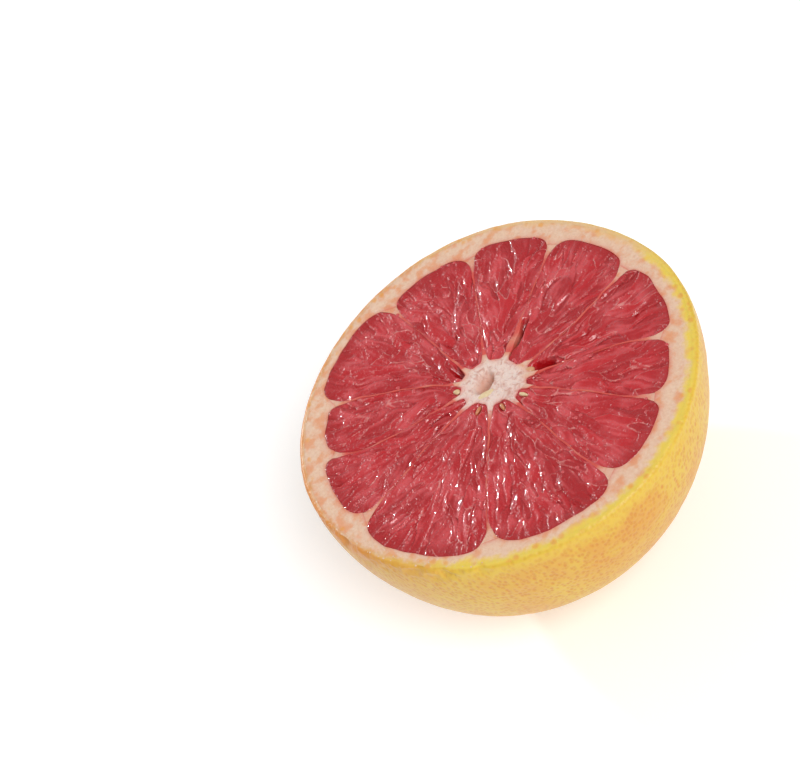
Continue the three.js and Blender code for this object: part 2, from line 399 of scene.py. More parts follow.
def zest_surface(add, place, face, depth, blush, pale):
    height = add("SeparateXYZ", {0: place}).outputs["Z"]
    # Broad drifts of colour, then a finer mottle
    drift = add("TexNoise", {"Vector": place, "Scale": 1000 / 30, "Detail": 2.0})
    mottle = add("TexNoise", {"Vector": place, "Scale": 1000 / 6, "Detail": 4.0})
    warm = add("MapRange", {0: drift, 1: 0.4, 2: 0.65}, **SMOOTH)
    warmer = add("Math", {0: warm, 1: blush}, operation="MAXIMUM")
    ground = add("Mix", {0: warmer, MIX_A: "#d9b13c", MIX_B: "#d69c38"}, **COLOUR)
    green = add("MapRange", {0: mottle, 1: 0.45, 2: 0.7, 4: 0.55}, **SMOOTH)
    mottled = add("Mix", {0: green, MIX_A: ground, MIX_B: "#d9b83a"}, **COLOUR)
    # Lemon yellow within a few millimetres of the cut, with an uneven lower edge
    wander = add("Math", {0: mottle, 1: 0.006}, **TIMES)
    level = add("Math", {0: height, 1: wander}, **PLUS)
    near_cut = add("MapRange", {0: level, 1: (CUT_Z - 3.5) * MM, 2: (CUT_Z + 2.6) * MM}, **SMOOTH)
    lemon = add("Mix", {0: blush, MIX_A: LEMON_SKIN, MIX_B: PEACH}, **COLOUR)
    banded = add("Mix", {0: near_cut, MIX_A: mottled, MIX_B: lemon}, **COLOUR)
    # Glands: darker spots, each of its own strength and a little taller than wide
    tall = add("VectorMath", {0: place, 1: (1.0, 1.0, 0.62)}, **TIMES)
    glands = add("TexVoronoi", {"Vector": tall, "Scale": 1000 / GLAND_PITCH})
    spot = add("MapRange", {0: glands, 1: 0.2, 2: 0.68, 3: 1.0, 4: 0.0}, **SMOOTH)
    chance = add("SeparateColor", {0: glands.outputs["Color"]})
    strength = add("MapRange", {0: chance, 3: 0.35, 4: 0.75})
    fainter = add("MapRange", {0: near_cut, 3: 1.0, 4: 0.35})
    shown = add("Math", {0: spot, 1: strength}, **TIMES)
    spotted = add("Math", {0: shown, 1: fainter}, **TIMES)
    skin = add("Mix", {0: spotted, MIX_A: banded, MIX_B: "#cb7e1e"}, **COLOUR)
    # A thin bloom of wax, rubbed off almost everywhere
    bloom = add("TexNoise", {"Vector": place, "Scale": 1000 / 9, "Detail": 5.0, "Roughness": 0.7})
    waxy = add("MapRange", {0: bloom, 1: 0.62, 2: 0.8, 4: 0.4}, **SMOOTH)
    bloomed = add("Mix", {0: waxy, MIX_A: skin, MIX_B: "#e4cda0"}, **COLOUR)
    # The ring that the knife laid open
    opened = rind_colour(add, place, "#dfbf9f", depth, blush, pale)
    colour = add("Mix", {0: face, MIX_A: bloomed, MIX_B: opened}, **COLOUR)
    # The dimples, and a fine grain between them
    grain = add("TexNoise", {"Vector": place, "Scale": 1000 / 0.5, "Detail": 2.0})
    dimple = add("Bump", {"Height": spot, "Distance": 0.00008}, invert=True)
    relief = add("Bump", {"Height": grain, "Distance": 0.00005, "Normal": dimple})
    return {
        "Base Color": colour, "Roughness": 0.42, "IOR": 1.45, "Subsurface Weight": 0.15,
        "Subsurface Radius": (1.0, 0.6, 0.2), "Subsurface Scale": 0.0012, "Coat Weight": 0.12,
        "Coat Roughness": 0.25, "Normal": relief,
    }


zest_finish = make_material("citrus zest, waxy", zest_surface, ("face", "depth", "blush", "pale"))
print("zest: glands", GLAND_PITCH, "mm apart")

# %% [markdown]
# ## Zest: the mesh
#
# The skin is a bowl of one thickness, so its section is a narrow band that follows the fruit's outline. We
# draw that section once, with its outer corner rounded because the skin is soft, and spin it round the axis.
# Then smooth noise sinks the surface here and there, and most of all where the knife tore the edge.

# %% Spin the zest
ROUND_STEPS = 600
OUTER_STEPS = 100
INNER_STEPS = 12
FACE_STEPS = 5
EDGE_STEPS = 8
EDGE_ROUND = 1.1
TORN_FROM, TORN_TO = 175.0, 245.0
TORN_DEPTH = 1.5
SKIN_INSET = 0.12


def outline(inset, steps, top):
    """Points (radius, height) of a layer of the fruit, from its pole to the height top."""
    bottom = widest_z - POLE_BELOW_WIDEST + inset
    low = max(0.0, bottom)
    start = math.acos(min(1.0, (widest_z - low) / (widest_z - bottom)))
    points = [(0.0, low)]
    for turn in np.linspace(start, math.pi / 2, steps):
        z = widest_z - (widest_z - bottom) * math.cos(turn)
        points.append((layer_radius(z, inset), z))
    points += [(layer_radius(z, inset), z) for z in np.linspace(widest_z, top, 9)[1:]]
    return [points[0]] + [p for p in points[1:] if p[0] > 0.05]


def torn_of(x, y):
    """1 along the stretch of the rim that the knife left uneven, 0 elsewhere."""
    angle = np.degrees(np.arctan2(y, x)) % 360
    return soft_step(angle, TORN_FROM, TORN_FROM + 15) * (1 - soft_step(angle, TORN_TO - 15, TORN_TO))


def spin_zest():
    section = outline(0.0, OUTER_STEPS, CUT_Z - EDGE_ROUND)
    rim = section[-1][0]
    for i in range(1, EDGE_STEPS + 1):
        turn = math.pi / 2 * i / EDGE_STEPS
        section.append((rim - EDGE_ROUND * (1 - math.cos(turn)), CUT_Z - EDGE_ROUND * (1 - math.sin(turn))))
    inside = outline(ZEST_THICKNESS, INNER_STEPS, CUT_Z)[::-1]
    section += [(r, CUT_Z) for r in np.linspace(section[-1][0], inside[0][0], FACE_STEPS)[1:-1]]
    section += inside
    bm = bmesh.new()
    verts = [bm.verts.new((r, 0, z)) for r, z in section]
    edges = [bm.edges.new(pair) for pair in zip(verts, verts[1:])]
    full_turn = {"axis": (0, 0, 1), "cent": (0, 0, 0), "angle": 2 * math.pi, "use_merge": True}
    bmesh.ops.spin(bm, geom=verts + edges, steps=ROUND_STEPS, **full_turn)
    bmesh.ops.remove_doubles(bm, verts=bm.verts, dist=0.001)
    places = places_of(bm)
    x, y, z = places.T
    r = np.hypot(x, y)
    depth = layer_radius(z, 0.0) - r
    from_centre = places - (0, 0, widest_z)
    outward = from_centre / np.linalg.norm(from_centre, axis=1)[:, None]
    outside = 1 - soft_step(depth, 0.4, 1.4)
    lumps = 0.20 * smooth_noise(x, y, z, 10.0, 1) + 0.10 * smooth_noise(x, y, z, 3.5, 2)
    torn = TORN_DEPTH * np.abs(smooth_noise(x, y, z, 3.6, 22)) * torn_of(x, y)
    torn *= soft_step(z, CUT_Z - 7, CUT_Z)
    places -= outward * ((SKIN_INSET + np.abs(lumps) + torn) * outside * soft_step(z, 0.3, 4.0))[:, None]
    marks = KNIFE_DEPTH + (knife_marks(x, y) - KNIFE_DEPTH) * soft_step(depth, 0.6, ZEST_THICKNESS)
    places[:, 2] -= marks * soft_step(z, CUT_Z - 2 * EDGE_ROUND, CUT_Z)
    move_to(bm, places)
    values = {
        "depth": np.where(z > CUT_Z - 3, depth, 0),
        "blush": blush_of(x, y),
        "pale": pale_of(x, y),
        "face": soft_step(depth, 0.05, 0.35) * soft_step(z, CUT_Z - 0.5, CUT_Z - 0.1),
    }
    return bm, values


zest_bm, zest_values = spin_zest()
zest = finish_piece("zest_skin", zest_bm, zest_finish, ["zest"], zest_values, crisp=True)
print("zest:", len(zest.data.polygons), "faces")

# %% [markdown]
# ## Where the walls run
#
# Eleven walls leave the core and reach the rind, none of them quite straight. Each is a curve through three
# angles, with a small wiggle on it. Pith and pulp use the same curves, so the wedges fit their pockets.

# %% The plan of the segments
BLADE_WALL = 1
BLADE_EXTRA = 0.5


def wall_half(index, r):
    """Half the thickness in mm of a wall at radius r. One wall was cut aslant and widens near the core."""
    blade = soft_step(r, 9.5, 12.5) * (1 - soft_step(r, 15.5, 23.0))
    return WALL_THICKNESS / 2 + BLADE_EXTRA * blade * (index % len(WALLS) == BLADE_WALL)


def wall_angle(index, r):
    """Angle in radians of a wall at radius r."""
    a, b, c = WALLS[index % len(WALLS)][0]
    p, q, s = WALL_RADII
    curve = (
        a * (r - q) * (r - s) / ((p - q) * (p - s))
        + b * (r - p) * (r - s) / ((q - p) * (q - s))
        + c * (r - p) * (r - q) / ((s - p) * (s - q))
    )
    wiggle = 0.35 * smooth_noise(r, 5.0 * (index % len(WALLS)), 0, 5.0, 4) * soft_step(r, 9, 14)
    turns = 360 if index >= len(WALLS) else 0
    return np.radians(curve + turns) + wiggle / r


def rounded_square(u, v):
    """Moves points of the square from -1 to 1 onto one with rounded corners."""
    n = CORNER_SQUARENESS
    reach = np.maximum(np.abs(u), np.abs(v))
    diagonal = (np.abs(u) ** n + np.abs(v) ** n) ** (1 / n)
    scale = np.where(diagonal > 1e-9, reach / np.maximum(diagonal, 1e-9), 1)
    return u * scale, v * scale


def segment_place(index, u, v, clear):
    """Plan place in mm of a segment's point: u runs across it and v out from the core, both from -1 to 1.

    The point keeps clear of the wall by the given distance. A negative one lies over the wall.
    """
    across, out = rounded_square(np.asarray(u, float), np.asarray(v, float))
    inner, outer = WALLS[index][1:]
    r = inner + clear + (outer - inner - 2 * clear) * (out + 1) / 2
    low = wall_angle(index, r) + (wall_half(index, r) + clear) / r
    high = wall_angle(index + 1, r) - (wall_half(index + 1, r) + clear) / r
    angle = low + (high - low) * (across + 1) / 2
    ripple = 0.35 * smooth_noise(r * np.cos(angle), r * np.sin(angle), 0, 4.0, 5)
    r = r + ripple * soft_step(out, 0.7, 1.0)
    return r * np.cos(angle), r * np.sin(angle)


print("segments:", [round(end - start, 1) for _, start, end in WALLS], "mm long")

# %% [markdown]
# ## Pulp: juice sacs
#
# A wedge of pulp is packed with juice sacs: long drops, a few millimetres wide, that grow from the rind
# towards the core. The knife opens some, which dish in and keep a thin pale rim of skin, and slides past
# others, which stay round and shiny. Only their tops show, so the top of a wedge is a fine grid, and every
# point of it finds the sac that stands highest there. The difference to the second highest says how near
# the border between two sacs is, and there the pale rim rises.

# %% Grow the sacs of a segment
SAC_WIDTH = 2.8
SAC_LENGTH = 9.5
SAC_SEED = 7


def grow_sacs(index):
    """The sacs, one a row: place, heading, half length and width, lift, cut or not, tone and tilt."""
    rng = np.random.default_rng(SAC_SEED + 31 * index)
    inner, outer = WALLS[index][1:]
    sacs = []
    r = outer - 1.5
    row = 0
    while r > inner - 3:
        low, high = (wall_angle(i, max(r, 6)) for i in (index, index + 1))
        count = max(2, int(round((high - low) * r / SAC_WIDTH)))
        for i in range(count + 1):
            share = (i + 0.5 * (row % 2) + rng.normal(0, 0.25)) / count
            angle = low + (high - low) * share
            radius = r + rng.normal(0, 0.22) * SAC_LENGTH
            heading = angle + (share - 0.5) * 0.35 + rng.normal(0, 0.18)
            length, width = SAC_LENGTH * rng.uniform(0.5, 0.95), SAC_WIDTH * rng.uniform(0.45, 0.8)
            rest = rng.normal(0, 0.22), rng.uniform() < 0.5, rng.uniform(), rng.normal(0, 0.14)
            sacs.append((radius * math.cos(angle), radius * math.sin(angle), heading, length, width, *rest))
        r -= SAC_LENGTH * rng.uniform(0.5, 0.65)
        row += 1
    return np.array(sacs, float)


print("sacs:", sum(len(grow_sacs(i)) for i in range(len(WALLS))))

# %% [markdown]
# ## Pulp: the relief of the cut
#
# Each sac's field is a cone over an ellipse, so the borders between sacs are fairly straight along them and
# pointed at their ends. Bending the places with smooth noise first gives them flame-like curves. Fine folds
# of skin run along each sac as well, where a stretched noise crosses zero. The knife left some patches calm
# and others torn, so a broad noise turns the whole relief up and down.

# %% Lift the sacs
DISH_DEPTH = 0.3
DOME_HEIGHT = 0.38
CALM_PATCH = 9.0
FOLD_PITCH = 1.5
FOLD_LENGTH = 8.0
FIBRE_WIDTH = 0.9
FIBRE_LENGTH = 6.0
RIM_HEIGHT = 0.14


def sac_relief(index, x, y):
    """Height of the sacs in mm, how near each point is to a rim or fold of skin, its tone and its streaks."""
    sacs = grow_sacs(index)
    bent_x = x + 1.5 * smooth_noise(x, y, 0, 8.0, 6) + 0.35 * smooth_noise(x, y, 0, 3.2, 7)
    bent_y = y + 1.5 * smooth_noise(x, y, 4, 8.0, 8) + 0.35 * smooth_noise(x, y, 4, 3.2, 9)
    best = np.full(x.shape, -1e9)
    second = np.full(x.shape, -1e9)
    owner = np.zeros(x.shape, int)
    own_along = np.zeros(x.shape)
    own_aside = np.zeros(x.shape)
    for i, (cx, cy, angle, length, width, lift, *_) in enumerate(sacs):
        along, aside = seen_along(bent_x, bent_y, (cx, cy), angle)
        top = lift - np.hypot(along / length, aside / width)
        higher = top > best
        second = np.where(higher, best, np.maximum(second, top))
        best = np.where(higher, top, best)
        owner = np.where(higher, i, owner)
        own_along = np.where(higher, along, own_along)
        own_aside = np.where(higher, aside, own_aside)
    border = best - second
    opened = sacs[owner, 6] > 0.5
    rim = np.exp(-((border / 0.09) ** 2))
    round_off = 1 - np.clip(1 - border / 0.9, 0, 1) ** 2
    dished = RIM_HEIGHT * rim - DISH_DEPTH * soft_step(border, 0.03, 0.7)
    domed = DOME_HEIGHT * round_off - 0.25
    fold_field = smooth_noise(own_along / FOLD_LENGTH, own_aside / FOLD_PITCH, owner * 1.7, 1.0, 10)
    folds = np.exp(-((fold_field / 0.07) ** 2)) * soft_step(smooth_noise(x, y, 0, 5.0, 23), -0.2, 0.5)
    rough = 0.5 + 0.75 * soft_step(smooth_noise(x, y, 0, CALM_PATCH, 29), -0.5, 0.7)
    height = np.where(opened, dished, domed) + 0.6 * sacs[owner, 5] + sacs[owner, 8] * own_aside
    height = height * rough + 0.08 * folds + 0.14 * smooth_noise(x, y, 0, 1.7, 24)
    skin = np.clip(rim * np.where(opened, 1.0, 0.3) + 0.8 * folds, 0, 1)
    streak = smooth_noise(own_along / FIBRE_LENGTH, own_aside / FIBRE_WIDTH, owner * 2.3, 1.0, 31)
    return height, skin, sacs[owner, 7], soft_step(streak, -0.35, 0.6)


test_height = sac_relief(0, np.linspace(15, 40, 50), np.linspace(6, 16, 50))[0]
print("relief from", test_height.min().round(2), "to", test_height.max().round(2), "mm")

# %% [markdown]
# ## Pulp: the material
#
# Wet citrus flesh is juice in thin clear skins. Light goes in, scatters red and comes out near by, so the
# material scatters below its surface. The juice on top is a smooth coat that mirrors the lights as small
# sharp glints. Four attributes carry what the mesh knows: "skin" where a rim or fold of skin stands, "deep"
# for painted shade where a point lies low, in a hollow or at a wedge's end, and for a darker red towards
# the rind, "tone" for the red of each sac, which differs at random, and "streak" for the pale fibres along
# it. Pale pink patches over the red are partly the veil of the sac skins and partly a painted reflection.

# %% The pulp's material
def pulp_surface(add, place, skin, deep, tone, streak):
    cloud = add("TexNoise", {"Vector": place, "Scale": 1000 / 7.0, "Detail": 3.0})
    wisp = add("TexNoise", {"Vector": place, "Scale": 1000 / 1.3, "Detail": 3.0, "Distortion": 0.6})
    each = add("Mix", {0: tone, MIX_A: "#a60a15", MIX_B: "#be1822"}, **COLOUR)
    # Painted reflection: pale pink patches stand in for a soft sheen of the lights on the wet flesh, and
    # partly for the paler veil of the sac skins
    veiled = add("Math", {0: streak, 1: 0.22}, **TIMES)
    thicker = add("Math", {0: veiled, 1: cloud}, **PLUS)
    sheen_and_veil = add("MapRange", {0: thicker, 1: 0.46, 2: 0.8, 4: 0.75}, **SMOOTH)
    sheened_and_veiled = add("Mix", {0: sheen_and_veil, MIX_A: each, MIX_B: "#d45459"}, **COLOUR)
    # Painted shade: darker red where the relief lies low, in the hollows and at the wedge ends, and a darker
    # red towards the rind
    shaded_and_darker_flesh = add("Mix", {0: deep, MIX_A: sheened_and_veiled, MIX_B: "#a50c12"}, **COLOUR)
    broken = add("Math", {0: skin, 1: wisp}, **TIMES)
    pale = add("MapRange", {0: broken, 1: 0.2, 2: 0.7, 4: 0.7}, **SMOOTH)
    flesh = add("Mix", {0: pale, MIX_A: shaded_and_darker_flesh, MIX_B: "#e09a94"}, **COLOUR)
    ripple = add("TexNoise", {"Vector": place, "Scale": 1000 / 0.65, "Detail": 1.0})
    wet = add("Bump", {"Height": ripple, "Distance": 0.00025})
    return {
        "Base Color": flesh, "Roughness": 0.3, "IOR": 1.36, "Subsurface Weight": 0.4,
        "Subsurface Radius": (1.0, 0.2, 0.15), "Subsurface Scale": 0.0016, "Coat Weight": 1.0,
        "Coat Roughness": 0.06, "Coat IOR": 1.48, "Normal": wet,
    }


pulp_finish = make_material("citrus flesh, wet", pulp_surface, ("skin", "deep", "tone", "streak"))
print("pulp material:", len(pulp_finish.node_tree.nodes), "nodes")

# %% [markdown]
# ## Pulp: hollows beside the core
#
# Here and there a sac tore out or shrank back, mostly near the core and round the seeds. Each such hollow
# is an oval dent along its segment. The places are polar, seen from the fruit's axis.

# %% Hollows in the pulp
# Each: segment, angle in degrees, radius, half length, half width and depth in mm
HOLLOWS = (
    (3, 109, 11.0, 3.6, 1.9, 2.4),
    (10, -16, 14.0, 4.2, 1.7, 2.8),
    (8, -75, 9.6, 1.7, 1.2, 1.4),
    (0, 34, 16.0, 7.0, 1.6, 2.4),
    (5, 180, 9.5, 2.0, 1.5, 1.0),
    (2, 86, 10.5, 1.8, 1.6, 0.8),
)
SEED_HOLLOW = (1.6, 1.0, 0.5)


def seed_hollows():
    """A hollow round each seed, in the same form as HOLLOWS."""
    found = []
    for name in sorted(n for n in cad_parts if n.startswith("seed_")):
        low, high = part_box(name)
        x, y, _ = (low + high) / 2 / MM
        angle = math.degrees(math.atan2(y, x - LEAN))
        for index in range(len(WALLS)):
            start, end = (math.degrees(wall_angle(i, 10.0)) for i in (index, index + 1))
            if start <= angle % 360 < end or start <= angle < end or start <= angle % 360 + 360 < end:
                found.append((index, angle, math.hypot(x - LEAN, y), *SEED_HOLLOW))
    return found


all_hollows = HOLLOWS + tuple(seed_hollows())


def hollow_depth(index, x, y):
    """Depth in mm of the hollows of a segment at some places."""
    total = np.zeros(x.shape)
    for segment, angle, radius, length, width, depth in all_hollows:
        if segment == index:
            turn = math.radians(angle)
            along, aside = seen_along(x, y, (radius * math.cos(turn), radius * math.sin(turn)), turn)
            ragged = 1 + 0.25 * smooth_noise(x, y, index, 2.2, 25)
            far = np.hypot(along / length, aside / width) * ragged
            total = np.maximum(total, depth * (1 - soft_step(far, 0.25, 1.1)))
    return total


print("hollows:", len(all_hollows))

# %% [markdown]
# ## Pulp: the wedges
#
# Each wedge starts as a square grid, which is moved onto the segment's rounded plan and lifted by the sacs.
# Then its rim is extruded down ring by ring, pulled in to the ball of flesh, and closed. Real flesh is grown
# to its walls, so the wedge presses a hair's breadth into them, and no dark gap shows round it.

# %% Grow the wedges
GRID_STEP = 0.22
WEDGE_CLEAR = -0.04
WEDGE_OVERLAP = 0.11
PULP_SINK = 0.42
RIND_SINK = 0.2
TOP_CLEAR = 0.05
EDGE_FALL = 0.1
EDGE_FALL_WIDTH = 0.5
SIDE_LEVELS = (53.0, 50.0, 44.0, 36.0, 27.0, 18.0, 11.0)


def extrude_ring(bm, ring):
    """Extrudes a closed ring of edges. Returns the new edges and their vertices."""
    grown = bmesh.ops.extrude_edge_only(bm, edges=ring)["geom"]
    fresh = {g for g in grown if isinstance(g, bmesh.types.BMVert)}
    edges = [g for g in grown if isinstance(g, bmesh.types.BMEdge) and set(g.verts) <= fresh]
    return edges, fresh


def grow_wedge(index):
    """One wedge in mm, with the skin, deep, tone and streak values of its vertices."""
    inner, outer = WALLS[index][1:]
    rind = WALL_RADII[2]
    widest_span = (wall_angle(index + 1, rind) - wall_angle(index, rind)) * rind
    bm = bmesh.new()
    columns, rows = int(widest_span / GRID_STEP * 0.85), int((outer - inner) / GRID_STEP)
    bmesh.ops.create_grid(bm, x_segments=columns, y_segments=rows, size=1.0)
    u, v, _ = places_of(bm).T
    x, y = segment_place(index, u, v, WEDGE_CLEAR)
    bulge = soft_step(smooth_noise(x, y, 0, 4.5, 32), 0.0, 0.7) * (1 - soft_step(np.hypot(x, y), 36, 42))
    x, y = segment_place(index, u, v, WEDGE_CLEAR - WEDGE_OVERLAP * bulge)
    height, skin, tone, streak = sac_relief(index, x, y)
    dent = hollow_depth(index, x, y)
    r = np.hypot(x, y)
    half_width = (wall_angle(index + 1, r) - wall_angle(index, r)) * r / 2
    to_side = (1 - np.abs(u)) * half_width
    to_end = (1 - np.abs(v)) * (outer - inner) / 2
    side_fall = np.clip(1 - to_side / EDGE_FALL_WIDTH, 0, 1)
    end_fall = np.clip(1 - to_end / EDGE_FALL_WIDTH, 0, 1)
    fall = np.maximum(0.5 * side_fall, end_fall)
    calm = (1 - 0.6 * np.maximum(side_fall, end_fall)) * (1 - 0.7 * np.clip(dent, 0, 1))
    near_rind = (1 - soft_step(to_end, 0.3, 2.5)) * (v > 0)
    sink = PULP_SINK + (RIND_SINK - PULP_SINK) * near_rind
    calm = calm * (1 - 0.5 * near_rind)
    z = CUT_Z - sink + height * calm - EDGE_FALL * (1 - np.sqrt(1 - fall**2)) - dent
    z = np.minimum(z, CUT_Z - TOP_CLEAR)
    move_to(bm, np.stack([x, y, z], 1))
    tops = len(bm.verts)

    ring = [e for e in bm.edges if e.is_boundary]
    for level in SIDE_LEVELS:
        ring, fresh = extrude_ring(bm, ring)
        ball = layer_radius(level, FLESH_INSET + 0.1, FLESH_INSET_AT_POLE + 0.1)
        for vert in fresh:
            r = math.hypot(vert.co.x, vert.co.y)
            pull = min(r, ball) / r
            low = min(level, vert.co.z - 0.3)
            vert.co = (vert.co.x * pull, vert.co.y * pull, level if level < 50 else low)
    bmesh.ops.contextual_create(bm, geom=ring)

    spare = len(bm.verts) - tops
    # Painted shade: the red darkens where the sacs lie low, where a wedge falls away at its ends and in the
    # hollows. Towards the rind the red darkens too. The hidden sides and bottom are dark throughout.
    shade_and_rind_red = soft_step(-height, 0.0, 0.7) * 0.6 + 0.5 * soft_step(end_fall, 0.2, 1.0) + 0.45 * dent
    shade_and_rind_red = shade_and_rind_red + 0.75 * (1 - soft_step(to_end, 0.5, 5.0)) * (v > 0)
    values = {
        "skin": np.append(skin * (1 - 0.8 * np.clip(dent, 0, 1)), np.zeros(spare)),
        "deep": np.append(np.clip(shade_and_rind_red, 0, 1), np.ones(spare)),
        "tone": np.append(tone, np.full(spare, 0.5)),
        "streak": np.append(streak, np.zeros(spare)),
    }
    return bm, values


# The beads of juice will stand on the tops
TOP_BELOW_CUT = 1.6
wedge_tops = []
for index in range(len(WALLS)):
    solid = f"pulp_{index + 1:02d}"
    wedge, values = grow_wedge(index)
    wedge_tops.append(np.array([v.co for v in wedge.verts if v.co.z > CUT_Z - TOP_BELOW_CUT]))
    finish_piece(f"{solid}_sacs", wedge, pulp_finish, [solid], values)
print("pulp:", sum(len(p.data.polygons) for p in made_pieces[1:]), "faces in", len(WALLS), "wedges")

# %% [markdown]
# ## Pith: the material
#
# Pith is a matt white sponge with fine fibres. Where it meets the pulp it takes up red juice and turns pink,
# and towards the zest it takes up oil, which the function for the cut rind adds. Its own attributes are
# "juice" for the pink, "heart" for the whiter core, and "hollow" for a painted shade, browner, in the core's
# split.

# %% The pith's material
def pith_surface(add, place, juice, heart, hollow, depth, blush, pale):
    cloud = add("TexNoise", {"Vector": place, "Scale": 1000 / 3.2, "Detail": 4.0})
    fibre = add("TexNoise", {"Vector": place, "Scale": 1000 / 0.7, "Detail": 4.0})
    sponge = add("Mix", {0: fibre, MIX_A: "#d4a788", MIX_B: "#e9ceb7"}, **COLOUR)
    warmer = add("Math", {0: blush, 1: 0.05}, **TIMES)
    warmth = add("Math", {0: cloud, 1: warmer}, **PLUS)
    stain = add("MapRange", {0: warmth, 1: 0.46, 2: 0.68, 4: 0.8}, **SMOOTH)
    stained = add("Mix", {0: stain, MIX_A: sponge, MIX_B: "#dc9468"}, **COLOUR)
    rind = rind_colour(add, place, stained, depth, blush, pale)
    spongy = {"Vector": place, "Scale": 1000 / 1.5, "Detail": 4.0, "Roughness": 0.65, "Distortion": 0.8}
    pores = add("TexNoise", spongy)
    open_pore = add("MapRange", {0: pores, 1: 0.3, 2: 0.55}, **SMOOTH)
    core = add("Mix", {0: open_pore, MIX_A: "#c99a8c", MIX_B: "#e4cdc2"}, **COLOUR)
    white = add("Mix", {0: heart, MIX_A: rind, MIX_B: core}, **COLOUR)
    # Painted shade: the core's split turns browner where it is deeper
    split_shaded = add("Mix", {0: hollow, MIX_A: white, MIX_B: "#cf9a84"}, **COLOUR)
    soaked = add("MapRange", {0: juice, 1: 0.0, 2: 0.7})
    pink = add("Mix", {0: soaked, MIX_A: split_shaded, MIX_B: "#cf5248"}, **COLOUR)
    red = add("MapRange", {0: juice, 1: 0.75, 2: 1.0})
    colour = add("Mix", {0: red, MIX_A: pink, MIX_B: "#b41c1e"}, **COLOUR)
    tooth = add("Bump", {"Height": fibre, "Distance": 0.0002})
    return {
        "Base Color": colour, "Roughness": 0.6, "IOR": 1.4, "Subsurface Weight": 0.3,
        "Subsurface Radius": (1.0, 0.7, 0.5), "Subsurface Scale": 0.001, "Coat Weight": 0.1,
        "Coat Roughness": 0.3, "Normal": tooth,
    }


pith_reads = ("juice", "heart", "hollow", "depth", "blush", "pale")
pith_finish = make_material("citrus pith, spongy", pith_surface, pith_reads)
print("pith material:", len(pith_finish.node_tree.nodes), "nodes")

# %% [markdown]
# ## Pith: bowl, walls and core in one
#
# The pith is a single body. Seen from above it is a sheet that is high on the rind, the walls and the core,
# and drops into eleven pockets. We bend a long grid into a disc, and let its columns follow the walls and
# its rows the ends of the pockets, so that every edge falls on a line of vertices.

# %% Lay out the grid of the pith
SEGMENT_COLUMNS = 46
WALL_COLUMNS = 4
CORE_ROWS = 28
POCKET_ROWS = 64
RIND_ROWS = 16
POCKET_END = CORE_ROWS + POCKET_ROWS
ROWS = POCKET_END + RIND_ROWS


def pith_columns():
    """For each column of the grid: its segment, and its place across it. Past 1 it is on the wall."""
    across = np.sin(np.linspace(-1, 1, SEGMENT_COLUMNS + 1) * math.pi / 2)
    wall = 1 + np.arange(1, WALL_COLUMNS) / WALL_COLUMNS
    return [(k, a) for k in range(len(WALLS)) for a in np.append(across, wall)]


def pocket_line(segment, across, v):
    """Plan places of one column at the rows v of the pockets."""
    if across <= 1:
        return np.stack(segment_place(segment, np.full(v.shape, across), v, 0.0), 1)
    share = across - 1
    here = np.stack(segment_place(segment, np.ones(v.shape), v, 0.0), 1)
    there = np.stack(segment_place((segment + 1) % len(WALLS), -np.ones(v.shape), v, 0.0), 1)
    return here * (1 - share) + there * share


def pith_plan(columns):
    """Plan places in mm of every column and row of the grid."""
    v = np.sin(np.linspace(-1, 1, POCKET_ROWS + 1) * math.pi / 2)
    rim = layer_radius(CUT_Z, ZEST_THICKNESS)
    lines = np.zeros((len(columns), ROWS + 1, 2))
    for c, (segment, across) in enumerate(columns):
        lines[c, CORE_ROWS : POCKET_END + 1] = pocket_line(segment, across, v)
        first, last = lines[c, CORE_ROWS], lines[c, POCKET_END]
        shares = np.arange(CORE_ROWS)[:, None] / CORE_ROWS
        lines[c, :CORE_ROWS] = np.array(CORE_CENTRE) + (first - CORE_CENTRE) * shares
        out = last / np.linalg.norm(last) * rim
        shares = np.arange(1, RIND_ROWS + 1)[:, None] / RIND_ROWS
        lines[c, POCKET_END + 1 :] = last + (out - last) * shares
    return lines


pith_lines = pith_plan(pith_columns())
print("pith plan:", pith_lines.shape[0], "columns by", pith_lines.shape[1], "rows")

# %% [markdown]
# ## Pith: heights
#
# The height follows from where each vertex lies. The walls sag a little between the rind and the core,
# because they are only skin there. The core is a spongy star with an off-centre split, painted browner
# inside as shade.

# %% Bend the grid into the pith
SPLIT_CENTRE = (-0.5, 3.0)
SPLIT_SIZE = (4.4, 3.0)
SPLIT_ANGLE = math.radians(30)
SPLIT_DEPTH = 3.0
WALL_SAG = 0.26


def split_share(x, y):
    """1 in the middle of the core's split, 0 outside it. Its near side is steep and its far side a slope."""
    along, aside = seen_along(x, y, SPLIT_CENTRE, SPLIT_ANGLE)
    ragged = 1 + 0.15 * smooth_noise(x, y, 0, 1.6, 14)
    far = np.hypot(along / SPLIT_SIZE[0], aside / SPLIT_SIZE[1]) * ragged
    start = 0.45 - 0.3 * soft_step(aside, -1.0, 2.0)
    return 1 - soft_step(far, start, 1.0)


